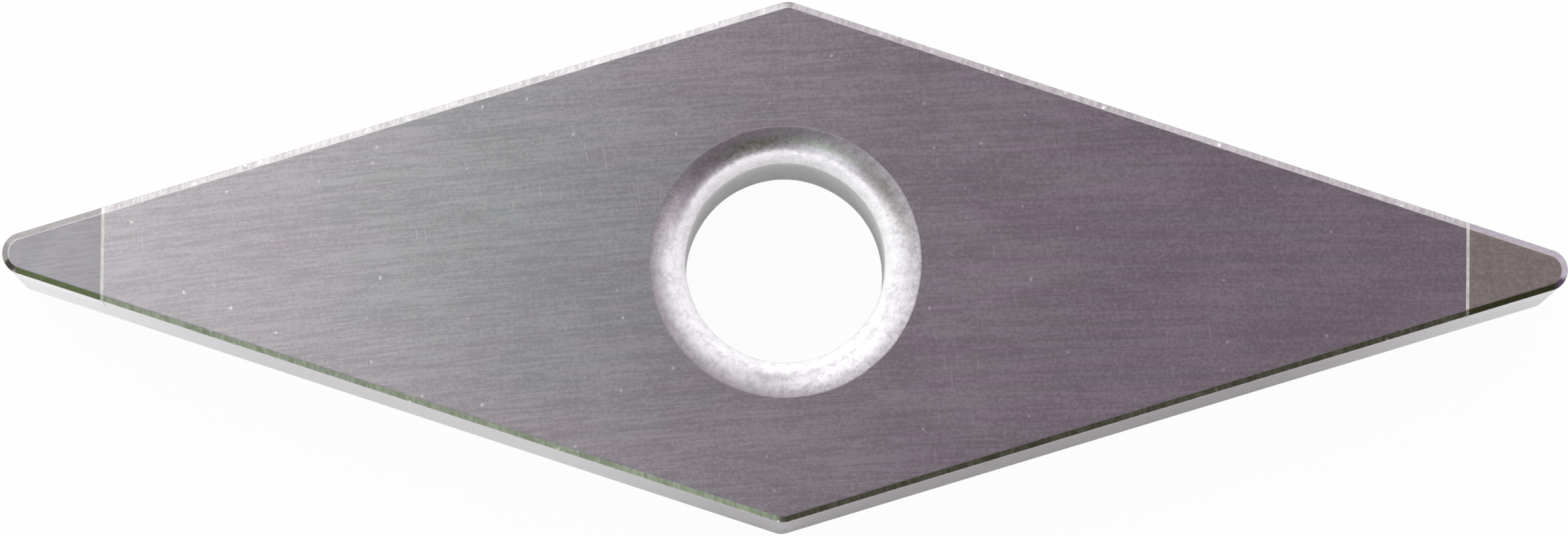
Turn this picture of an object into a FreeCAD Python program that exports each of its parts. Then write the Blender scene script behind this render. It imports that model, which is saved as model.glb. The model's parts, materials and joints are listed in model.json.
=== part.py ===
import FreeCAD, Part
import Sketcher
import enum
import math
import os

# A double-tipped turning insert: a 35 degree rhombus of cemented carbide, with a tip of cubic boron nitride
# brazed into an L-shaped pocket at each acute corner. The flanks are square to the rake face.
# Frame: +Z up towards the rake face, +X along the long diagonal, origin on the bore's axis at the seat face.

# Driving dimensions, in millimetres and degrees.
SIZES = {
    "inscribed_circle": 9.525,  # circle that touches all four flanks
    "point_angle": 35.0,        # between the two flanks that meet at a cutting corner
    "thickness": 4.76,          # seat face to rake face
    "nose_radius": 0.4,         # at the two acute cutting corners
    "corner_radius": 0.4,       # at the two blunt corners
    "land_width": 0.12,         # of the ground edge land, seen from above
    "land_angle": 25.0,         # fall of the land below the rake face
    "bore_diameter": 3.81,
    "mouth_width": 0.675,       # how far each rounded mouth of the bore spreads round it
    "mouth_depth": 0.48,        # from the face down to the cylindrical bore
    "mouth_radius": 1.0,        # of the mouth's rounded section
    "tip_length": 1.88,         # of a tip, from its nose to its back wall
    "tip_thickness": 1.6,       # of a tip, from the rake face to its underside
    "braze_gap": 0.06,          # braze film behind and under a tip
}

doc = FreeCAD.newDocument("turning_insert")
sheet = doc.addObject("Spreadsheet::Sheet", "Sizes")
for row, (alias, value) in enumerate(SIZES.items(), start=1):
    sheet.set(f"A{row}", alias)
    sheet.set(f"B{row}", str(value))
    sheet.setAlias(f"B{row}", alias)
doc.recompute()

# Distance from the bore's axis to the outermost point of a nose.
HALF_LENGTH = (
    "((Sizes.inscribed_circle / 2 - Sizes.nose_radius) / sin(Sizes.point_angle / 2 * 1 deg)"
    " + Sizes.nose_radius)"
)
# Back wall and underside of a tip, and of the pocket that it is brazed into.
TIP_BACK = f"({HALF_LENGTH} - Sizes.tip_length)"
TIP_FLOOR = "(Sizes.thickness - Sizes.tip_thickness)"
POCKET_BACK = f"({TIP_BACK} - Sizes.braze_gap)"
POCKET_FLOOR = f"({TIP_FLOOR} - Sizes.braze_gap)"


# Sketch helpers
class Point(enum.IntEnum):
    """Sketcher's numbers for the points of a line, an arc or a circle, which count from 1."""

    START = enum.auto()
    END = enum.auto()
    CENTRE = enum.auto()


class Axis(enum.IntEnum):
    """Sketcher's numbers for a sketch's own axes, which start at its origin."""

    X = -1
    Y = -2


def new_sketch(body, name, plane_role):
    """An empty sketch on one of the body's own origin planes."""
    plane = next(f for f in body.Origin.OriginFeatures if f.Role == plane_role)
    sketch = body.newObject("Sketcher::SketchObject", name)
    sketch.AttachmentSupport = [(plane, "")]
    sketch.MapMode = "FlatFace"
    return sketch


def drive(sketch, name, expression, *constraint):
    """Add a dimension to the sketch, name it and bind it to the sheet."""
    index = sketch.addConstraint(Sketcher.Constraint(*constraint))
    sketch.renameConstraint(index, name)
    sketch.setExpression(f"Constraints.{name}", expression)


# Blank: the ground outside of the whole insert, which its body, tips and braze share
def draw_outline(sketch):
    """A rhombus about the inscribed circle, with an arc at each corner, drawn anticlockwise."""
    touch_radius = sheet.inscribed_circle / 2
    half_point = math.radians(sheet.point_angle / 2)
    half_turn = math.pi / 2
    corners = []
    for direction, half_angle, radius in (
        (0.0, half_point, sheet.nose_radius),
        (half_turn, half_turn - half_point, sheet.corner_radius),
        (math.pi, half_point, sheet.nose_radius),
        (math.pi + half_turn, half_turn - half_point, sheet.corner_radius),
    ):
        reach = (touch_radius - radius) / math.sin(half_angle)
        centre = FreeCAD.Vector(reach * math.cos(direction), reach * math.sin(direction), 0)
        sweep = half_turn - half_angle
        circle = Part.Circle(centre, FreeCAD.Vector(0, 0, 1), radius)
        corner = Part.ArcOfCircle(circle, direction - sweep, direction + sweep)
        corners.append(sketch.addGeometry(corner, False))
    sides = []
    for here, after in zip(corners, corners[1:] + corners[:1]):
        side = Part.LineSegment(sketch.getPoint(here, Point.END), sketch.getPoint(after, Point.START))
        sides.append(sketch.addGeometry(side, False))
    for here, side, after in zip(corners, sides, corners[1:] + corners[:1]):
        sketch.addConstraint(Sketcher.Constraint("Tangent", here, Point.END, side, Point.START))
        sketch.addConstraint(Sketcher.Constraint("Tangent", side, Point.END, after, Point.START))

    touching = Part.Circle(FreeCAD.Vector(0, 0, 0), FreeCAD.Vector(0, 0, 1), touch_radius)
    inscribed = sketch.addGeometry(touching, True)
    sketch.addConstraint(Sketcher.Constraint("Coincident", inscribed, Point.CENTRE, Axis.X, Point.START))
    for side in sides:
        sketch.addConstraint(Sketcher.Constraint("Tangent", inscribed, side))

    right_nose, upper_corner, left_nose, lower_corner = corners
    lower_right_side = sides[3]
    sketch.addConstraint(Sketcher.Constraint("PointOnObject", right_nose, Point.CENTRE, Axis.X))
    sketch.addConstraint(Sketcher.Constraint("PointOnObject", left_nose, Point.CENTRE, Axis.X))
    sketch.addConstraint(Sketcher.Constraint("PointOnObject", upper_corner, Point.CENTRE, Axis.Y))
    sketch.addConstraint(Sketcher.Constraint("Equal", right_nose, left_nose))
    sketch.addConstraint(Sketcher.Constraint("Equal", upper_corner, lower_corner))
    drive(sketch, "inscribed_circle", "Sizes.inscribed_circle", "Diameter", inscribed, 2 * touch_radius)
    drive(sketch, "half_point", "Sizes.point_angle / 2 * 1 deg", "Angle", lower_right_side, half_point)
    drive(sketch, "nose_radius", "Sizes.nose_radius", "Radius", right_nose, sheet.nose_radius)
    drive(sketch, "corner_radius", "Sizes.corner_radius", "Radius", upper_corner, sheet.corner_radius)


def mouth_arc(face_point, bore_point, radius):
    """The rounded section of a mouth, from the face to the bore, bulging towards the hole's axis."""
    chord = bore_point - face_point
    middle = (face_point + bore_point) / 2
    into_material = FreeCAD.Vector(abs(chord.y), abs(chord.x) * math.copysign(1, chord.y), 0) / chord.Length
    sagitta = radius - math.sqrt(radius**2 - (chord.Length / 2) ** 2)
    return Part.Arc(face_point, middle - into_material * sagitta, bore_point)


def draw_hole(sketch):
    """Half of the hole's section: along the seat face, up the hole's wall, and back to the axis."""
    bore_radius = sheet.bore_diameter / 2
    mouth_edge = bore_radius + sheet.mouth_width
    top = sheet.thickness
    seat_axis = FreeCAD.Vector(0, 0, 0)
    seat_edge = FreeCAD.Vector(mouth_edge, 0, 0)
    bore_low = FreeCAD.Vector(bore_radius, sheet.mouth_depth, 0)
    bore_high = FreeCAD.Vector(bore_radius, top - sheet.mouth_depth, 0)
    rake_edge = FreeCAD.Vector(mouth_edge, top, 0)
    rake_axis = FreeCAD.Vector(0, top, 0)

    seat_line = sketch.addGeometry(Part.LineSegment(seat_axis, seat_edge), False)
    seat_mouth = sketch.addGeometry(mouth_arc(seat_edge, bore_low, sheet.mouth_radius), False)
    bore_line = sketch.addGeometry(Part.LineSegment(bore_low, bore_high), False)
    rake_mouth = sketch.addGeometry(mouth_arc(rake_edge, bore_high, sheet.mouth_radius), False)
    rake_line = sketch.addGeometry(Part.LineSegment(rake_edge, rake_axis), False)
    axis_line = sketch.addGeometry(Part.LineSegment(rake_axis, seat_axis), False)

    # An arc runs anticlockwise, so its start and end depend on how it was drawn.
    def end_at(arc, point):
        return Point.START if sketch.getPoint(arc, Point.START).distanceToPoint(point) < 1e-6 else Point.END

    for first, first_end, second, second_end in (
        (seat_line, Point.END, seat_mouth, end_at(seat_mouth, seat_edge)),
        (seat_mouth, end_at(seat_mouth, bore_low), bore_line, Point.START),
        (bore_line, Point.END, rake_mouth, end_at(rake_mouth, bore_high)),
        (rake_mouth, end_at(rake_mouth, rake_edge), rake_line, Point.START),
        (rake_line, Point.END, axis_line, Point.START),
        (axis_line, Point.END, seat_line, Point.START),
    ):
        sketch.addConstraint(Sketcher.Constraint("Coincident", first, first_end, second, second_end))
    sketch.addConstraint(Sketcher.Constraint("Coincident", seat_line, Point.START, Axis.X, Point.START))
    sketch.addConstraint(Sketcher.Constraint("Horizontal", seat_line))
    sketch.addConstraint(Sketcher.Constraint("Horizontal", rake_line))
    sketch.addConstraint(Sketcher.Constraint("Vertical", bore_line))
    sketch.addConstraint(Sketcher.Constraint("Vertical", axis_line))
    sketch.addConstraint(Sketcher.Constraint("Equal", seat_line, rake_line))
    sketch.addConstraint(Sketcher.Constraint("Equal", seat_mouth, rake_mouth))
    drive(sketch, "bore_radius", "Sizes.bore_diameter / 2",
          "DistanceX", seat_line, Point.START, bore_line, Point.START, bore_radius)
    drive(sketch, "mouth_width", "Sizes.mouth_width",
          "DistanceX", bore_line, Point.START, seat_line, Point.END, sheet.mouth_width)
    drive(sketch, "seat_mouth_depth", "Sizes.mouth_depth",
          "DistanceY", seat_line, Point.END, bore_line, Point.START, sheet.mouth_depth)
    drive(sketch, "rake_mouth_depth", "Sizes.mouth_depth",
          "DistanceY", bore_line, Point.END, rake_line, Point.START, sheet.mouth_depth)
    drive(sketch, "thickness", "Sizes.thickness",
          "DistanceY", seat_line, Point.START, rake_line, Point.END, top)
    drive(sketch, "mouth_radius", "Sizes.mouth_radius", "Radius", rake_mouth, sheet.mouth_radius)


blank = doc.addObject("PartDesign::Body", "Blank")

outline = new_sketch(blank, "Outline", "XY_Plane")
draw_outline(outline)
slab = blank.newObject("PartDesign::Pad", "Slab")
slab.Profile = outline
slab.setExpression("Length", "Sizes.thickness")
doc.recompute()

# The edge land runs round the whole rake face.
rake_face = max(range(len(slab.Shape.Faces)), key=lambda i: slab.Shape.Faces[i].CenterOfMass.z)
land = blank.newObject("PartDesign::Chamfer", "Land")
land.Base = (slab, [f"Face{rake_face + 1}"])
land.ChamferType = "Two distances"
land.FlipDirection = True
land.setExpression("Size", "Sizes.land_width")
land.setExpression("Size2", "Sizes.land_width * tan(Sizes.land_angle * 1 deg)")
doc.recompute()

hole_section = new_sketch(blank, "HoleSection", "XZ_Plane")
draw_hole(hole_section)
hole = blank.newObject("PartDesign::Groove", "Hole")
hole.Profile = hole_section
hole.ReferenceAxis = (hole_section, ["V_Axis"])
hole.Angle = 360
doc.recompute()


# Pockets, tips and braze
def corner_block(name, back, floor, side):
    """A block over one acute corner, proud of the blank on its open sides."""
    block = doc.addObject("Part::Box", name)
    block.setExpression("Length", "Sizes.inscribed_circle")
    block.setExpression("Width", "Sizes.inscribed_circle")
    block.setExpression("Height", "Sizes.thickness")
    near_end = back if side == "right" else f"-({back} + Sizes.inscribed_circle)"
    block.setExpression("Placement.Base.x", near_end)
    block.setExpression("Placement.Base.y", "-Sizes.inscribed_circle / 2")
    block.setExpression("Placement.Base.z", floor)
    return block


def combine(kind, label, base, tool):
    """A boolean of two objects, under the label of the piece that it makes."""
    result = doc.addObject(kind, label)
    result.Base = base
    result.Tool = tool
    return result


pieces = []
pockets = []
for side in ("left", "right"):
    tip_block = corner_block(f"TipBlock_{side}", TIP_BACK, TIP_FLOOR, side)
    pocket = corner_block(f"Pocket_{side}", POCKET_BACK, POCKET_FLOOR, side)
    braze_block = combine("Part::Cut", f"BrazeBlock_{side}", pocket, tip_block)
    pockets.append(pocket)
    pieces.append(combine("Part::Common", f"cbn_tip_{side}", blank, tip_block))
    pieces.append(combine("Part::Common", f"braze_seam_{side}", blank, braze_block))

both_pockets = combine("Part::Fuse", "BothPockets", *pockets)
pieces.append(combine("Part::Cut", "insert_body", blank, both_pockets))
doc.recompute()


# Checks and export
def check_document():
    for item in doc.Objects:
        failed = {"Invalid", "Error"} & set(item.State)
        if failed:
            raise RuntimeError(f"{item.Label} failed: {sorted(failed)}")
    for piece in pieces:
        shape = piece.Shape
        if shape.isNull() or not shape.isValid() or len(shape.Solids) != 1:
            raise RuntimeError(f"{piece.Label} isn't one valid solid")
    missing = blank.Shape.Volume - sum(piece.Shape.Volume for piece in pieces)
    if abs(missing) > 1e-6 * blank.Shape.Volume:
        raise RuntimeError(f"the pieces miss {missing} mm3 of the blank")
    if not hole.Shape.Volume < land.Shape.Volume < slab.Shape.Volume:
        raise RuntimeError("the edge land or the hole removed nothing")
    land_depth = sheet.land_width * math.tan(math.radians(sheet.land_angle))
    flank_top = min(face.BoundBox.ZMin for face in land.Shape.Faces if face.BoundBox.ZMin > 1e-6)
    if abs(sheet.thickness - land_depth - flank_top) > 1e-6:
        raise RuntimeError("the edge land's width and depth are swapped")


check_document()
os.makedirs("parts", exist_ok=True)
for piece in pieces:
    piece.Shape.exportStep(f"parts/{piece.Label}.step")
    box = piece.Shape.BoundBox
    print(f"{piece.Label}: {piece.Shape.Volume:.4f} mm3, z {box.ZMin:.3f} to {box.ZMax:.3f}")
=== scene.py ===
import bpy
import bmesh
import json
import math
from mathutils import Matrix, Vector, noise


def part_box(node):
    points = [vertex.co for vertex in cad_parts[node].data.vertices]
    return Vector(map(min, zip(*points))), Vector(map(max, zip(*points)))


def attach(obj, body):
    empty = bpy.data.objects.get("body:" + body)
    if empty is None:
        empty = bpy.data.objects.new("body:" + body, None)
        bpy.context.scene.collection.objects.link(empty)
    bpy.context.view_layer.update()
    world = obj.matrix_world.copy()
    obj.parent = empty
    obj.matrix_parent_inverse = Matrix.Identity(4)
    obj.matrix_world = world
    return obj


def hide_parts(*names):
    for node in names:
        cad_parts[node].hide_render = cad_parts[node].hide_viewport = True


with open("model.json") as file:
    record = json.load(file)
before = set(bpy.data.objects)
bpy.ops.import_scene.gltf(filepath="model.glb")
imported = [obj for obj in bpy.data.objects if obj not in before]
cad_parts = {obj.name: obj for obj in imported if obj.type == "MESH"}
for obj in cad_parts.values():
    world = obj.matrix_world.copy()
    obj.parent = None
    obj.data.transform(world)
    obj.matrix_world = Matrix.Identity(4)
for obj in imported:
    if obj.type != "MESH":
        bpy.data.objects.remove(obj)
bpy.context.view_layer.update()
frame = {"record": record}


# Ground blank
# The tips are brazed into the carbide first and the insert is ground all over afterwards, so its pieces share
# one outside: a rhombus with square flanks, a land round the rake face and honed edges. The hole's rounded
# mouths stay as they were pressed and sintered.

MM = 0.001
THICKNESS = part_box("insert_body")[1].z
INSCRIBED_RADIUS = 9.525 / 2 * MM
POINT_ANGLE = math.radians(35)
NOSE_RADIUS = 0.4 * MM
CORNER_RADIUS = 0.4 * MM
LAND_WIDTH = 0.115 * MM
LAND_ANGLE = math.radians(25)
LAND_DEPTH = LAND_WIDTH * math.tan(LAND_ANGLE)
CUTTING_EDGE_HONE = 0.008 * MM
LAND_TOP_HONE = 0.011 * MM
SEAT_EDGE_BREAK = 0.03 * MM

clamp_hole = next(m for m in frame["record"]["mounts"] if m["name"] == "clamp_hole")
BORE_RADIUS = clamp_hole["dims"]["r_mm"] * MM
MOUTH_WIDTH = 0.675 * MM
MOUTH_DEPTH = (THICKNESS - clamp_hole["dims"]["length_mm"] * MM) / 2
MOUTH_RADIUS = 1.0 * MM
MOUTH_EDGE_BREAK = 0.02 * MM
BORE_EDGE_BREAK = 0.03 * MM
MOUTH_UNEVEN = 0.004  # share of the radius
MOUTH_LUMP = 0.8 * MM

NOSE_STEPS = 48
CORNER_STEPS = 14
HONE_STEPS = 5
MOUTH_STEPS = 20
HOLE_STEPS = 288

Z_AXIS = Vector((0, 0, 1))
TINY = 1e-4 * MM
LEVEL = 0.99999  # the least height of a level face's normal
NEAR = math.radians(0.2)
SAME_SURFACE = math.cos(math.radians(60))


def last_vert(spun):
    return next(item for item in spun["geom_last"] if isinstance(item, bmesh.types.BMVert))


def draw_outline(bm):
    """The flanks' outline on the seat face, anticlockwise from the right-hand nose, as one face."""
    first = last = None
    for quarter in range(4):
        at_nose = quarter % 2 == 0
        radius = NOSE_RADIUS if at_nose else CORNER_RADIUS
        half_angle = POINT_ANGLE / 2 if at_nose else (math.pi - POINT_ANGLE) / 2
        along = Matrix.Rotation(quarter * math.pi / 2, 3, "Z") @ Vector((1, 0, 0))
        centre = along * (INSCRIBED_RADIUS - radius) / math.sin(half_angle)
        sweep = math.pi - 2 * half_angle
        start = bm.verts.new(centre + Matrix.Rotation(-sweep / 2, 3, "Z") @ along * radius)
        if last:
            bm.edges.new((last, start))
        first = first or start
        spun = bmesh.ops.spin(bm, geom=[start], cent=centre, axis=Z_AXIS, angle=sweep,
                              steps=NOSE_STEPS if at_nose else CORNER_STEPS)
        last = last_vert(spun)
    bm.edges.new((last, first))
    bmesh.ops.contextual_create(bm, geom=bm.edges[:])


def edges_at(bm, height):
    return [e for e in bm.edges if all(abs(v.co.z - height) < TINY for v in e.verts)]


def hone(bm, height, width, steps):
    """Round the closed edge loop that lies at a height."""
    bmesh.ops.bevel(bm, geom=edges_at(bm, height), offset=width, offset_type="OFFSET", segments=steps,
                    profile=0.5, affect="EDGES", clamp_overlap=False, material=-1)


def raise_slab(bm):
    """Square flanks, the land and the honed edges, with a plain face above and below."""
    seat = bm.faces[:]
    raised = bmesh.ops.extrude_face_region(bm, geom=seat)["geom"]
    top = [item for item in raised if isinstance(item, bmesh.types.BMFace)]
    bmesh.ops.translate(bm, verts=top[0].verts[:], vec=Z_AXIS * (THICKNESS - LAND_DEPTH))
    bmesh.ops.recalc_face_normals(bm, faces=bm.faces[:])
    bmesh.ops.inset_region(bm, faces=top, thickness=LAND_WIDTH, depth=LAND_DEPTH, use_even_offset=True,
                           use_boundary=True)
    hone(bm, THICKNESS, LAND_TOP_HONE, HONE_STEPS)
    hone(bm, THICKNESS - LAND_DEPTH, CUTTING_EDGE_HONE, HONE_STEPS)
    hone(bm, 0, SEAT_EDGE_BREAK, HONE_STEPS)


def hole_profile(bm):
    """The hole's section from the rake face down to the seat face, on the side of +X."""
    face_point = Vector((BORE_RADIUS + MOUTH_WIDTH, 0, THICKNESS))
    bore_point = Vector((BORE_RADIUS, 0, THICKNESS - MOUTH_DEPTH))
    chord = bore_point - face_point
    into_metal = Vector((-chord.z, 0, chord.x)).normalized()
    half_chord = chord.length / 2
    centre = (face_point + bore_point) / 2 + into_metal * math.sqrt(MOUTH_RADIUS**2 - half_chord**2)
    sweep = 2 * math.asin(half_chord / MOUTH_RADIUS)
    mirrored = Vector((centre.x, 0, THICKNESS - centre.z))

    upper_rim = bm.verts.new(face_point)
    upper_end = last_vert(bmesh.ops.spin(bm, geom=[upper_rim], cent=centre, axis=-Vector((0, 1, 0)),
                                         angle=sweep, steps=MOUTH_STEPS))
    lower_start = bm.verts.new((bore_point.x, 0, MOUTH_DEPTH))
    lower_rim = last_vert(bmesh.ops.spin(bm, geom=[lower_start], cent=mirrored, axis=-Vector((0, 1, 0)),
                                         angle=sweep, steps=MOUTH_STEPS))
    bm.edges.new((upper_end, lower_start))
    for rim in (upper_rim, lower_rim):
        level = bm.verts.new(rim.co + Vector((2 * MOUTH_EDGE_BREAK, 0, 0)))
        bm.edges.new((rim, level))
    for verts, width in (
        ((upper_rim, lower_rim), MOUTH_EDGE_BREAK),
        ((upper_end, lower_start), BORE_EDGE_BREAK),
    ):
        bmesh.ops.bevel(bm, geom=verts, offset=width, segments=HONE_STEPS, profile=0.5, affect="VERTICES",
                        clamp_overlap=False, material=-1)


def turn_hole(bm):
    """The wall of the hole, with its mouths a little uneven, as pressed and sintered metal is."""
    tube = bmesh.new()
    hole_profile(tube)
    bmesh.ops.spin(tube, geom=tube.verts[:] + tube.edges[:], cent=(0, 0, 0), axis=Z_AXIS,
                   angle=2 * math.pi, steps=HOLE_STEPS, use_merge=True)
    for vert in tube.verts:
        vert.co.xy *= 1 + MOUTH_UNEVEN * noise.noise(vert.co / MOUTH_LUMP)
    wall = bpy.data.meshes.new("hole_wall")
    tube.to_mesh(wall)
    tube.free()
    bm.from_mesh(wall)
    bpy.data.meshes.remove(wall)


def fill_face(bm, height, upward):
    """Close a face between its outer edge and the mouth of the hole."""
    plain = [f for f in bm.faces if len(f.verts) > 4 and all(abs(v.co.z - height) < TINY for v in f.verts)]
    bmesh.ops.delete(bm, geom=plain, context="FACES_ONLY")
    rim = [e for e in edges_at(bm, height) if len(e.link_faces) == 1]
    bmesh.ops.triangle_fill(bm, edges=rim, use_beauty=True, normal=Z_AXIS if upward else -Z_AXIS)


def ground_blank():
    """The whole insert as one closed bmesh, before it is shared out between its pieces."""
    bm = bmesh.new()
    draw_outline(bm)
    raise_slab(bm)
    turn_hole(bm)
    fill_face(bm, THICKNESS, True)
    fill_face(bm, 0, False)
    bmesh.ops.remove_doubles(bm, verts=bm.verts[:], dist=TINY / 10)
    bmesh.ops.recalc_face_normals(bm, faces=bm.faces[:])
    return bm


blank = ground_blank()


def keep_corner(bm, side, back, floor):
    """Keep only the corner beyond x = back and above z = floor, on one side of the insert."""
    for point, normal in (((side * back, 0, 0), (side, 0, 0)), ((0, 0, floor), (0, 0, 1))):
        cut = bmesh.ops.bisect_plane(bm, geom=bm.verts[:] + bm.edges[:] + bm.faces[:], plane_co=point,
                                     plane_no=normal, clear_inner=True)["geom_cut"]
        rim = [item for item in cut if isinstance(item, bmesh.types.BMEdge)]
        bmesh.ops.contextual_create(bm, geom=rim)


def cut_corner(bm, side, back, floor):
    """Take away the corner beyond x = back and above z = floor, and cover its two walls."""
    bmesh.ops.bisect_plane(bm, geom=bm.verts[:] + bm.edges[:] + bm.faces[:], plane_co=(side * back, 0, 0),
                           plane_no=(side, 0, 0))
    beyond = [f for f in bm.faces if side * f.calc_center_median().x > back]
    beyond_edges = list({e for f in beyond for e in f.edges})
    beyond_verts = list({v for f in beyond for v in f.verts})
    bmesh.ops.bisect_plane(bm, geom=beyond_verts + beyond_edges + beyond, plane_co=(0, 0, floor),
                           plane_no=Z_AXIS)
    corner = [f for f in bm.faces if side * f.calc_center_median().x > back
              and f.calc_center_median().z > floor]
    bmesh.ops.delete(bm, geom=corner, context="FACES")
    open_edges = [e for e in bm.edges if len(e.link_faces) == 1]
    inner_ends = [v for v in {v for e in open_edges for v in e.verts}
                  if abs(side * v.co.x - back) < TINY and abs(v.co.z - floor) < TINY]
    across = bm.edges.new(inner_ends)
    wall = [e for e in open_edges if all(abs(side * v.co.x - back) < TINY for v in e.verts)]
    ledge = [e for e in open_edges if all(abs(v.co.z - floor) < TINY for v in e.verts)]
    bmesh.ops.contextual_create(bm, geom=wall + [across])
    bmesh.ops.contextual_create(bm, geom=ledge + [across])


def is_level(face):
    return abs(face.normal.z) > LEVEL


def is_flat(face):
    """Whether a face is part of the rake or seat face, a straight land or a straight flank."""
    slope = math.acos(min(face.normal.z, 1))
    side = math.atan2(abs(face.normal.x), abs(face.normal.y))
    straight = abs(side - POINT_ANGLE / 2) < NEAR
    sloped = min(abs(slope - LAND_ANGLE), abs(slope - math.pi / 2)) < NEAR
    return is_level(face) or (straight and sloped)


def shading_normals(bm):
    """A normal for each face corner: flats keep their own, and the hones turn from one flat to the next."""
    normals = []
    for face in bm.faces:
        for vert in face.verts:
            surface = [f for f in vert.link_faces if f.normal.dot(face.normal) > SAME_SURFACE]
            flats = [f for f in surface if is_flat(f)]
            normals.append(sum((f.normal for f in flats or surface), Vector()).normalized())
    return normals


def finish_piece(bm, name, node, finishes, finish_of):
    """Give each face its finish, make the object and hang it on the frame in place of its node."""
    bmesh.ops.recalc_face_normals(bm, faces=bm.faces[:])
    for face in bm.faces:
        face.material_index = finish_of(face)
        face.smooth = True
    mesh = bpy.data.meshes.new(name)
    normals = shading_normals(bm)
    bm.to_mesh(mesh)
    bm.free()
    mesh.normals_split_custom_set(normals)
    for finish in finishes:
        mesh.materials.append(finish)
    piece = bpy.data.objects.new(name, mesh)
    bpy.context.scene.collection.objects.link(piece)
    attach(piece, "root")
    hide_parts(node)


# Carbide body
# Cemented tungsten carbide: pressed, sintered, then ground on both faces and the flanks with a diamond wheel.
# The wheel's long shallow arcs stay on the rake face, and the hole keeps its matte sintered skin.

class Wire:
    """An output of a node. Sums on it add Math nodes, so that a pattern reads as a formula."""

    def __init__(self, graph, socket):
        self.graph = graph
        self.socket = socket

    def math(self, operation, *others):
        sockets = dict(enumerate((self, *others)))
        return self.graph.node("ShaderNodeMath", {"operation": operation}, sockets)

    def __add__(self, other):
        return self.math("ADD", other)

    def __sub__(self, other):
        return self.math("SUBTRACT", other)

    def __mul__(self, other):
        return self.math("MULTIPLY", other)

    def __truediv__(self, other):
        return self.math("DIVIDE", other)

    def __rsub__(self, other):
        return self.graph.node("ShaderNodeMath", {"operation": "SUBTRACT"}, {0: other, 1: self})

    __radd__ = __add__
    __rmul__ = __mul__


class Graph:
    """A node tree, with one method that adds any node."""

    def __init__(self, tree):
        self.tree = tree

    def node(self, kind, settings=None, sockets=None, output=0):
        made = self.tree.nodes.new(kind)
        for name, value in (settings or {}).items():
            setattr(made, name, value)
        for name, value in (sockets or {}).items():
            if isinstance(value, Wire):
                self.tree.links.new(value.socket, made.inputs[name])
            else:
                made.inputs[name].default_value = value
        return Wire(self, made.outputs[output]) if made.outputs else None

    def part(self, vector, axis):
        """The X, Y or Z of a vector."""
        return self.node("ShaderNodeSeparateXYZ", {}, {0: vector}, output=axis)

    def vector(self, x, y, z=0.0):
        return self.node("ShaderNodeCombineXYZ", {}, {"X": x, "Y": y, "Z": z})

    def place(self):
        """A point of the piece, in millimetres."""
        point = self.node("ShaderNodeTexCoord", output="Object")
        return self.node("ShaderNodeMapping", {}, {"Vector": point, "Scale": (1 / MM,) * 3})

    def noise(self, vector, scale=1.0, detail=2.0, roughness=0.5, output=0):
        sockets = {"Vector": vector, "Scale": scale, "Detail": detail, "Roughness": roughness}
        return self.node("ShaderNodeTexNoise", {}, sockets, output)

    def ease(self, value, low, high, to_low=0.0, to_high=1.0):
        """Rise smoothly from to_low to to_high as the value goes from low to high."""
        sockets = {"Value": value, "From Min": low, "From Max": high, "To Min": to_low, "To Max": to_high}
        return self.node("ShaderNodeMapRange", {"interpolation_type": "SMOOTHSTEP"}, sockets)

    def mix(self, factor, first, second, blend="MIX"):
        """Mix two colours. The colour sockets of a Mix node are its seventh and eighth."""
        settings = {"data_type": "RGBA", "blend_type": blend}
        return self.node("ShaderNodeMix", settings, {0: factor, 6: first, 7: second}, output=2)


class Finish(Graph):
    """One material and its Principled shader."""

    def __init__(self, name, **constants):
        self.material = bpy.data.materials.new(name)
        self.material.use_nodes = True
        super().__init__(self.material.node_tree)
        self.shader = self.tree.nodes["Principled BSDF"]
        for socket, value in constants.items():
            self.shader.inputs[socket.replace("_", " ")].default_value = value

    def feed(self, socket, wire):
        self.tree.links.new(wire.socket, self.shader.inputs[socket])

    def bump(self, height, depth):
        """Relief whose full height, from 0 to 1, is a depth in metres."""
        sockets = {"Height": height, "Strength": 1.0, "Distance": depth}
        self.feed("Normal", self.node("ShaderNodeBump", {}, sockets))


# The grinding wheel's path over the rake face, in millimetres: circles about a point far in front.
WHEEL_CENTRE = (13.7, -178.0)
WHEEL_RADIUS = 178.0
# The fine marks grow fainter towards the right-hand tip, between these places along X.
FAINT_FROM, FAINT_TO = 1.0, 9.0
FAINTEST = 0.5
# Painted shade in a deep score, and painted glints on a scratch and on a nick.
SCORE_PAINTED_SHADE = (0.27, 0.26, 0.27, 1)
SCRATCH_PAINTED_GLINT = (0.78, 0.77, 0.78, 1)
NICK_PAINTED_GLINT = (0.85, 0.85, 0.83, 1)


def wheel_marks(finish, point, pitch, length):
    """Streaks along the wheel's path, with a pitch and a length in millimetres."""
    x = finish.part(point, 0) - WHEEL_CENTRE[0]
    y = finish.part(point, 1) - WHEEL_CENTRE[1]
    radius = (x * x + y * y).math("SQRT") - WHEEL_RADIUS
    travel = x.math("ARCTAN2", y) * WHEEL_RADIUS
    return finish.noise(finish.vector(travel / length, radius / pitch), detail=3.0, roughness=0.6)


def nicks(finish, point, spacing, size):
    """Where the surface has a small nick, for its painted glint, on about half of the cells of a loose grid
    in X and Y.
    """
    ragged = finish.noise(point, 0.6 / size, 2.0, output="Color")
    ragged = finish.node("ShaderNodeVectorMath", {"operation": "MULTIPLY_ADD"},
                         {0: ragged, 1: (1.6 * size,) * 3, 2: point})
    sockets = {"Vector": ragged, "Scale": 1 / spacing}
    settings = {"voronoi_dimensions": "2D"}
    distance = finish.node("ShaderNodeTexVoronoi", settings, sockets)
    chance = finish.part(finish.node("ShaderNodeTexVoronoi", settings, sockets, output="Color"), 0)
    return finish.ease(distance, size / spacing, 0.3 * size / spacing) * finish.ease(chance, 0.45, 0.95)


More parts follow.
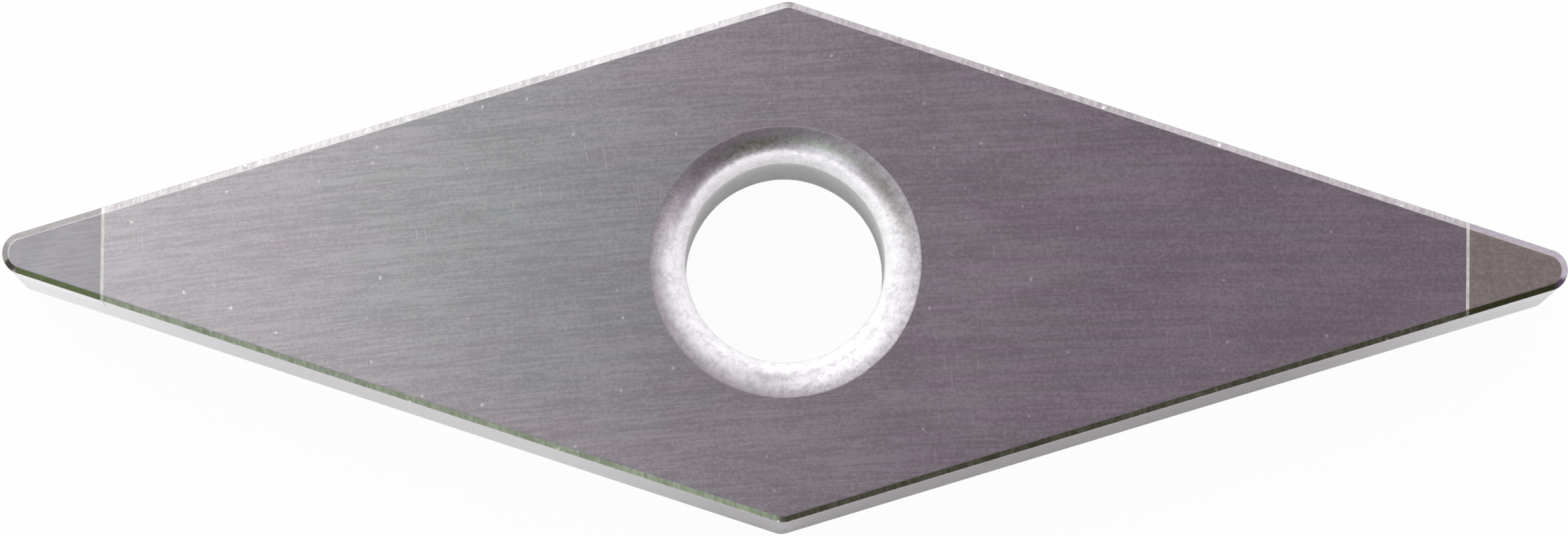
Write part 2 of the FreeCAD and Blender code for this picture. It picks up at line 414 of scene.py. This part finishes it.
def scratches(finish, point, spacing, width, length, lean):
    """Sparse fine scratches across the wheel's path, leaning in from the vertical, as the mask of their
    painted glint.
    """
    x, y = (finish.part(point, axis) for axis in range(2))
    across = (x + lean * y + finish.noise(point, 0.35) * 0.5) / width
    lines = finish.noise(finish.vector(across, y / length), detail=1.0)
    patches = finish.noise(finish.vector(x / spacing, y / spacing), detail=1.0)
    return finish.ease(lines, 0.66, 0.76) * finish.ease(patches, 0.5, 0.62)


# A thin greenish haze that the coolant left on the faces, to the left of the hole, in millimetres.
HAZE_CENTRE = (-3.8, 0.3)
HAZE_REACH = (5.8, 4.4)


def haze(finish, point, x, y):
    """How thick the coolant's haze is, from 1 at its centre to 0 at its rim."""
    wander = finish.noise(point, 0.5, 2.0) - 0.5
    across = (x - HAZE_CENTRE[0]) / HAZE_REACH[0] + wander * 0.5
    away = (y - HAZE_CENTRE[1]) / HAZE_REACH[1] + wander * 0.3
    return finish.ease(across * across + away * away, 1.0, 0.0)


def ground_face(name, pale, dark, tint, roughness):
    """A face ground by the wheel: fine and broad arcs, grain, haze, painted shade in deep scores, and cross
    scratches and small nicks with painted glints.
    """
    finish = Finish(name, Metallic=1.0)
    point = finish.place()
    x, y = (finish.part(point, axis) for axis in range(2))
    fine = wheel_marks(finish, point, pitch=0.055, length=0.8)
    broad = wheel_marks(finish, point, pitch=0.16, length=5.0)
    score_shade = finish.ease(wheel_marks(finish, point, pitch=0.045, length=2.6), 0.36, 0.24)
    grain = finish.noise(point, 19.0, 2.0)
    clouds = finish.noise(finish.vector(x / 3.0, y), detail=3.0)
    faint = finish.ease(x, FAINT_FROM, FAINT_TO, 1.0, FAINTEST)
    arcs = (fine - 0.5) * 0.42 * faint + (broad - 0.5) * 0.28
    tone = finish.ease(arcs + (grain * 0.30 + clouds * 0.15 + 0.275), 0.40, 0.60)
    metal = finish.mix(tone, (*dark, 1), (*pale, 1))
    streaky = finish.ease(wheel_marks(finish, point, pitch=0.3, length=3.5), 0.44, 0.60, 0.0, 0.22)
    metal = finish.mix(haze(finish, point, x, y) * 0.52 + streaky, metal, (*tint, 1), "MULTIPLY")
    # Painted shade in the deep scores.
    metal = finish.mix(score_shade * 0.45, metal, SCORE_PAINTED_SHADE)
    # Painted glints on the scratches and nicks.
    scratch_glint = scratches(finish, point, spacing=2.6, width=0.045, length=0.8, lean=0.12)
    nick_glint = nicks(finish, point, spacing=0.95, size=0.042)
    finish.feed("Base Color", finish.mix(scratch_glint * 0.24 + nick_glint * 0.7, metal, SCRATCH_PAINTED_GLINT))
    uneven = grain * 0.5 + clouds * 0.5
    finish.feed("Roughness", finish.ease(uneven, 0.3, 0.7, roughness - 0.01, roughness + 0.01))
    finish.bump(arcs + grain * 0.25, 0.0003 * MM)
    return finish.material


def ground_edge(name, pale, dark, roughness, across, along, depth, down, spacing):
    """A land or flank, with marks of one pitch along it and another across it. Its nicks, with painted
    glints, are spread over X and the axis that runs down it."""
    finish = Finish(name, Metallic=1.0)
    point = finish.place()
    x, y, z = (finish.part(point, axis) for axis in range(3))
    marks = finish.noise(finish.vector((x + 0.3 * z) / along, y / (3 * along), z / across), detail=3.0)
    clouds = finish.noise(point, 1.4, 3.0)
    tone = finish.ease(marks * 0.65 + clouds * 0.35, 0.32, 0.68)
    metal = finish.mix(tone, (*dark, 1), (*pale, 1))
    nick_glint = nicks(finish, finish.vector(x, (x, y, z)[down]), spacing, size=0.045)
    # Painted glints on the nicks.
    finish.feed("Base Color", finish.mix(nick_glint, metal, NICK_PAINTED_GLINT))
    finish.feed("Roughness", finish.ease(marks, 0.3, 0.7, roughness - 0.02, roughness + 0.02))
    finish.bump(marks, depth * MM)
    return finish.material


# The mouth's colour turns from dark to pale, painted shade turning to painted light, and then to a matte
# frosted near-white that is painted light too, between these distances from the hole's axis. Millimetres.
PAINTED_LIGHT_FROM, PAINTED_LIGHT_TO = 2.56, 2.12
FROST_AND_LIGHT_FROM, FROST_AND_LIGHT_TO = 2.17, 2.05
FROST_WANDER = 0.12


def sintered_skin(name, frosted, grey, roughness, shiny_shade_to_light=None):
    """Matte, mottled metal as it left the sintering furnace: frosted all over, or metallic further out in the
    two colours that are given from the face down. There the two colours are painted shade turning to painted
    light, and the near-white frosted colour inside them is painted light too."""
    finish = Finish(name)
    point = finish.place()
    grain = finish.noise(point, 14.0, 3.0, 0.65)
    lumps = finish.noise(point, 5.5, 3.0)
    metal = (*frosted, 1)
    if shiny_shade_to_light:
        x, y = (finish.part(point, axis) for axis in range(2))
        from_axis = (x * x + y * y).math("SQRT") + (lumps - 0.5) * FROST_WANDER
        # Painted shade turning to painted light, then a frosted band of painted light, by distance from the
        # axis.
        frost_and_light = finish.ease(from_axis, FROST_AND_LIGHT_FROM, FROST_AND_LIGHT_TO)
        dark, pale = ((*colour, 1) for colour in shiny_shade_to_light)
        metal = finish.mix(frost_and_light, finish.mix(finish.ease(from_axis, PAINTED_LIGHT_FROM, PAINTED_LIGHT_TO), dark, pale), metal)
        finish.feed("Metallic", 1 - frost_and_light)
    pores = finish.ease(grain * 0.6 + lumps * 0.4, 0.44, 0.62, 0.0, 0.6)
    finish.feed("Base Color", finish.mix(pores, metal, (*grey, 1), "MULTIPLY"))
    finish.feed("Roughness", finish.ease(grain, 0.3, 0.7, roughness - 0.05, roughness + 0.06))
    finish.bump(grain * 0.6 + lumps * 0.4, 0.006 * MM)
    return finish.material


carbide_face = ground_face(
    "carbide_ground_face", pale=(0.460, 0.433, 0.455), dark=(0.365, 0.340, 0.360), tint=(0.840, 0.990, 0.910),
    roughness=0.15)
carbide_land = ground_edge(
    "carbide_ground_land", pale=(0.52, 0.50, 0.51), dark=(0.34, 0.32, 0.33), roughness=0.24,
    across=1.0, along=0.07, depth=0.0006, down=1, spacing=0.32)
carbide_flank = ground_edge(
    "carbide_ground_flank", pale=(0.490, 0.468, 0.497), dark=(0.415, 0.395, 0.422), roughness=0.14,
    across=0.03, along=1.6, depth=0.0005, down=2, spacing=0.8)
# The mouth's dark-to-pale metal and its near-white frosted colour are painted shade and light.
carbide_mouth = sintered_skin(
    "carbide_sintered_mouth", frosted=(0.945, 0.938, 0.955), grey=(0.72, 0.72, 0.73), roughness=0.31,
    shiny_shade_to_light=((0.315, 0.295, 0.315), (0.74, 0.718, 0.745)))
carbide_bore = sintered_skin(
    "carbide_sintered_bore", frosted=(0.80, 0.80, 0.80), grey=(0.80, 0.80, 0.80), roughness=0.6)

FACE, LAND, FLANK, MOUTH, BORE = range(5)
BORE_SLOPE = math.radians(27)  # a wall within this angle of upright has the bore's finish


def outer_finish(face):
    """The hone between the rake face and its land was ground with the face."""
    if is_level(face) or face.normal.z > math.cos(0.9 * LAND_ANGLE):
        return FACE
    return LAND if face.normal.z > 0.5 else FLANK


def body_finish(face):
    centre = face.calc_center_median()
    in_hole = math.hypot(centre.x, centre.y) < BORE_RADIUS + MOUTH_WIDTH + 2 * MOUTH_EDGE_BREAK
    if in_hole and not is_level(face):
        return BORE if abs(face.normal.z) < math.sin(BORE_SLOPE) else MOUTH
    return outer_finish(face)


def corner_walls(node):
    """Where a node's back wall and underside lie, as distances from the axis and the seat face."""
    low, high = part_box(node)
    return min(abs(low.x), abs(high.x)), low.z


body = blank.copy()
for side, word in ((-1, "left"), (1, "right")):
    cut_corner(body, side, *corner_walls(f"braze_seam_{word}"))
finish_piece(body, "ground_carbide_body", "insert_body",
             (carbide_face, carbide_land, carbide_flank, carbide_mouth, carbide_bore), body_finish)


# Cubic boron nitride tips
# Solid polycrystalline cubic boron nitride, cut from a disc and brazed in. It is darker than the carbide,
# with a fine grain, and it was ground in the same passes.

def ground_ceramic(name, pale, dark, roughness, streaks):
    """A ground ceramic and metal composite: fine grain, and wheel marks with a share of the pattern."""
    finish = Finish(name, Metallic=1.0)
    point = finish.place()
    grain = finish.noise(point, 14.0, 3.0, 0.6)
    marks = wheel_marks(finish, point, pitch=0.055, length=0.7)
    clouds = finish.noise(point, 2.4, 2.0)
    ground = marks * streaks + grain * (0.8 - streaks)
    tone = finish.ease(ground + clouds * 0.2, 0.36, 0.64)
    finish.feed("Base Color", finish.mix(tone, (*dark, 1), (*pale, 1)))
    finish.feed("Roughness", finish.ease(grain, 0.3, 0.7, roughness - 0.01, roughness + 0.01))
    finish.bump(ground, 0.0003 * MM)
    return finish.material


# The tips differ a little in tone, as tips cut from different discs do. The right-hand one is browner.
boron_faces = {
    "left": ground_ceramic(
        "boron_nitride_face_left", pale=(0.353, 0.346, 0.363), dark=(0.291, 0.284, 0.297),
        roughness=0.21, streaks=0.57),
    "right": ground_ceramic(
        "boron_nitride_face_right", pale=(0.377, 0.343, 0.312), dark=(0.307, 0.279, 0.254),
        roughness=0.21, streaks=0.34),
}
# The lands are lit and shaded copies of one ground boron nitride, painted light and shade: darker on the
# left-hand tip, paler and purpler on the right-hand one.
boron_lands_lit_and_shaded = {
    "left": ground_ceramic(
        "boron_nitride_land_left_shaded_copy", pale=(0.275, 0.262, 0.262), dark=(0.215, 0.203, 0.200),
        roughness=0.12, streaks=0.4),
    "right": ground_ceramic(
        "boron_nitride_land_right_lit_copy", pale=(0.41, 0.375, 0.43), dark=(0.33, 0.30, 0.34),
        roughness=0.12, streaks=0.4),
}
boron_flank = ground_ceramic(
    "boron_nitride_flank", pale=(0.50, 0.495, 0.50), dark=(0.44, 0.435, 0.44), roughness=0.12, streaks=0.4)

for side, word in ((-1, "left"), (1, "right")):
    node = f"cbn_tip_{word}"
    tip = blank.copy()
    keep_corner(tip, side, *corner_walls(node))
    finish_piece(tip, f"boron_nitride_tip_{word}", node,
                 (boron_faces[word], boron_lands_lit_and_shaded[word], boron_flank), outer_finish)


# Braze seams
# The film of silver braze behind and under each tip. Ground flush with the rest, its edge is a thin bright
# line across the rake face and over the land.

def ground_braze(name, pale, dark, roughness):
    """Soft metal, smeared a little by the wheel."""
    finish = Finish(name, Metallic=1.0)
    point = finish.place()
    smear = finish.noise(point, 9.0, 3.0, 0.6)
    finish.feed("Base Color", finish.mix(finish.ease(smear, 0.35, 0.65), (*dark, 1), (*pale, 1)))
    finish.feed("Roughness", finish.ease(smear, 0.3, 0.7, roughness - 0.05, roughness + 0.05))
    finish.bump(smear, 0.001 * MM)
    return finish.material


braze = ground_braze("silver_braze", pale=(0.60, 0.60, 0.585), dark=(0.51, 0.515, 0.495), roughness=0.34)

for side, word in ((-1, "left"), (1, "right")):
    node = f"braze_seam_{word}"
    seam = blank.copy()
    keep_corner(seam, side, *corner_walls(node))
    cut_corner(seam, side, *corner_walls(f"cbn_tip_{word}"))
    finish_piece(seam, f"silver_braze_{word}", node, (braze,), lambda face: FACE)


# Floor, light and camera
# A white studio table under a soft sky: bright to the left and behind, and plain overhead. Pale, green, brown
# and dark olive cards stand towards the front, over a low front light, as the land and the mouth show.

FLOOR_SIZE = 3.0
FLOOR_DROP = 20 * TINY
FLOOR_PAINT = (0.8, 0.8, 0.8, 1)
SEEN_WHITE = 0.96
WHITE = (1, 1, 1, 1)
OVERHEAD = (0.27, 0.20, 0.26, 1)
PALE_HORIZON = (1.4, 1.4, 1.4, 1)
FRONT_LIGHT = (3.8, 3.8, 3.8, 1)
# The table that the front right-hand flank mirrors is in shade. It grows lighter over two rings about a
# point: each ring's start and end in millimetres, and the share of the light that comes back over it.
SHADE_CENTRE = (5.8, -7.0)
SHADE_RINGS = ((5.5, 11.5, 0.56), (16, 22, 0.44))


def lay_floor():
    bm = bmesh.new()
    bmesh.ops.create_grid(bm, x_segments=1, y_segments=1, size=FLOOR_SIZE)
    mesh = bpy.data.meshes.new("white_table")
    bm.to_mesh(mesh)
    bm.free()
    floor = bpy.data.objects.new("white_table", mesh)
    bpy.context.scene.collection.objects.link(floor)
    floor.location.z = -FLOOR_DROP
    material = bpy.data.materials.new("white_table")
    material.use_nodes = True
    graph = Graph(material.node_tree)
    graph.tree.nodes.clear()
    paint = graph.node("ShaderNodeBsdfDiffuse", {}, {"Color": FLOOR_PAINT})
    white = graph.node("ShaderNodeEmission", {}, {"Color": WHITE, "Strength": 1.0})
    seen = graph.node("ShaderNodeLightPath", output="Is Camera Ray")
    mirrored = graph.node("ShaderNodeLightPath", output="Is Glossy Ray")
    through = graph.node("ShaderNodeLightPath", output="Is Transmission Ray")
    place = graph.place()
    across, away = (graph.part(place, axis) - SHADE_CENTRE[axis] for axis in range(2))
    from_shade = (across * across + away * away).math("SQRT")
    lit = sum(graph.ease(from_shade, start, end, 0.0, light) for start, end, light in SHADE_RINGS)
    share = seen * SEEN_WHITE + (mirrored + through) * lit
    shown = graph.node("ShaderNodeMixShader", {}, {0: share, 1: paint, 2: white})
    graph.node("ShaderNodeOutputMaterial", {}, {"Surface": shown})
    mesh.materials.append(material)


def direction(from_zenith, azimuth):
    """A unit vector at an angle from straight up. Azimuth 0 is to the right and 90 to the rear."""
    tilt, turn = math.radians(from_zenith), math.radians(azimuth)
    return (math.sin(tilt) * math.cos(turn), math.sin(tilt) * math.sin(turn), math.cos(tilt))


def light_sky():
    world = bpy.data.worlds.new("soft_sky")
    bpy.context.scene.world = world
    world.use_nodes = True
    graph = Graph(world.node_tree)
    graph.tree.nodes.clear()
    ray = graph.node("ShaderNodeTexCoord", output="Generated")

    def patch(from_zenith, azimuth, inner, outer):
        """1 within the inner angle of a direction, falling to 0 at the outer."""
        toward = direction(from_zenith, azimuth)
        turned = graph.node("ShaderNodeVectorMath", {"operation": "DOT_PRODUCT"}, {0: ray, 1: toward},
                            output="Value")
        return graph.ease(turned, math.cos(math.radians(outer)), math.cos(math.radians(inner)))

    # Each card: its colour, its angle from straight up, its azimuth, and how far it is solid and then fades.
    sky = OVERHEAD
    for colour, from_zenith, azimuth, solid, faded in (
        ((1.38, 1.40, 1.38), 46.6, 166, 43.3, 45.3),   # pale wall to the left
        ((1.32, 1.28, 1.32), 52, 32, 34, 46),          # pale wall to the right
        ((2.7, 2.7, 2.7), 28, 145, 12, 20),            # soft box above, to the rear left
        ((2.0, 2.0, 2.0), 50, 118, 12, 34),            # window behind
        ((1.45, 1.48, 1.60), 50, 247, 13, 23),         # pale card in front
        ((0.27, 0.26, 0.21), 48, 215, 12, 19),         # brown card to the front left
        ((0.355, 0.425, 0.21), 47.5, 246, 6, 9),       # moss green card over the pale one
        ((0.76, 1.27, 0.54), 47.5, 257, 4, 9),         # leaf green card beside it
        ((0.115, 0.105, 0.11), 48, -74, 15, 29),       # dark card to the front right
        ((0.55, 0.50, 0.53), 28, -75, 4, 14),          # faint glow above it
        ((0.075, 0.085, 0.028), 47.5, -72, 10, 17),    # olive card over the dark one
    ):
        sky = graph.mix(patch(from_zenith, azimuth, solid, faded), sky, (*colour, 1))
    # Light near the horizon: pale all round, and a bright low band in front.
    height = graph.part(ray, 2)
    sky = graph.mix(graph.ease(height, 0.34, 0.18), sky, PALE_HORIZON)
    low_band = graph.ease(height, 0.20, 0.09) * graph.ease(height, 0.01, 0.06)
    sky = graph.mix(patch(90, 265, 30, 70) * low_band, sky, FRONT_LIGHT)
    seen = graph.node("ShaderNodeLightPath", output="Is Camera Ray")
    sky = graph.mix(seen, sky, WHITE)
    light = graph.node("ShaderNodeBackground", {}, {"Color": sky, "Strength": 1.0})
    graph.node("ShaderNodeOutputWorld", {}, {"Surface": light})


# How the photograph was taken: far above the rake face, leaned a little to the front.
CAMERA_DISTANCE = 195.9 * MM
CAMERA_LEAN = math.radians(4.103)
CAMERA_TURN = math.radians(-0.309)
CAMERA_ROLL = math.radians(0.640)
PICTURE_WIDTH = 2339
PIXELS_PER_METRE = 78.367 / MM
ASIDE = 2.023 / PIXELS_PER_METRE
ABOVE = -9.582 / PIXELS_PER_METRE


def place_camera():
    lens_data = bpy.data.cameras.new("camera")
    lens_data.sensor_width = 36
    lens_data.lens = lens_data.sensor_width * PIXELS_PER_METRE * CAMERA_DISTANCE / PICTURE_WIDTH
    lens_data.clip_start = 0.01
    lens_data.clip_end = 10
    camera = bpy.data.objects.new("camera", lens_data)
    bpy.context.scene.collection.objects.link(camera)
    turn = (Matrix.Rotation(CAMERA_LEAN, 4, "X") @ Matrix.Rotation(CAMERA_TURN, 4, "Y")
            @ Matrix.Rotation(CAMERA_ROLL, 4, "Z"))
    offset = turn @ Vector((-ASIDE, ABOVE, CAMERA_DISTANCE))
    camera.matrix_world = Matrix.Translation(Vector((0, 0, THICKNESS)) + offset) @ turn
    bpy.context.scene.camera = camera


lay_floor()
light_sky()
place_camera()
bpy.context.scene.view_settings.view_transform = "Standard"
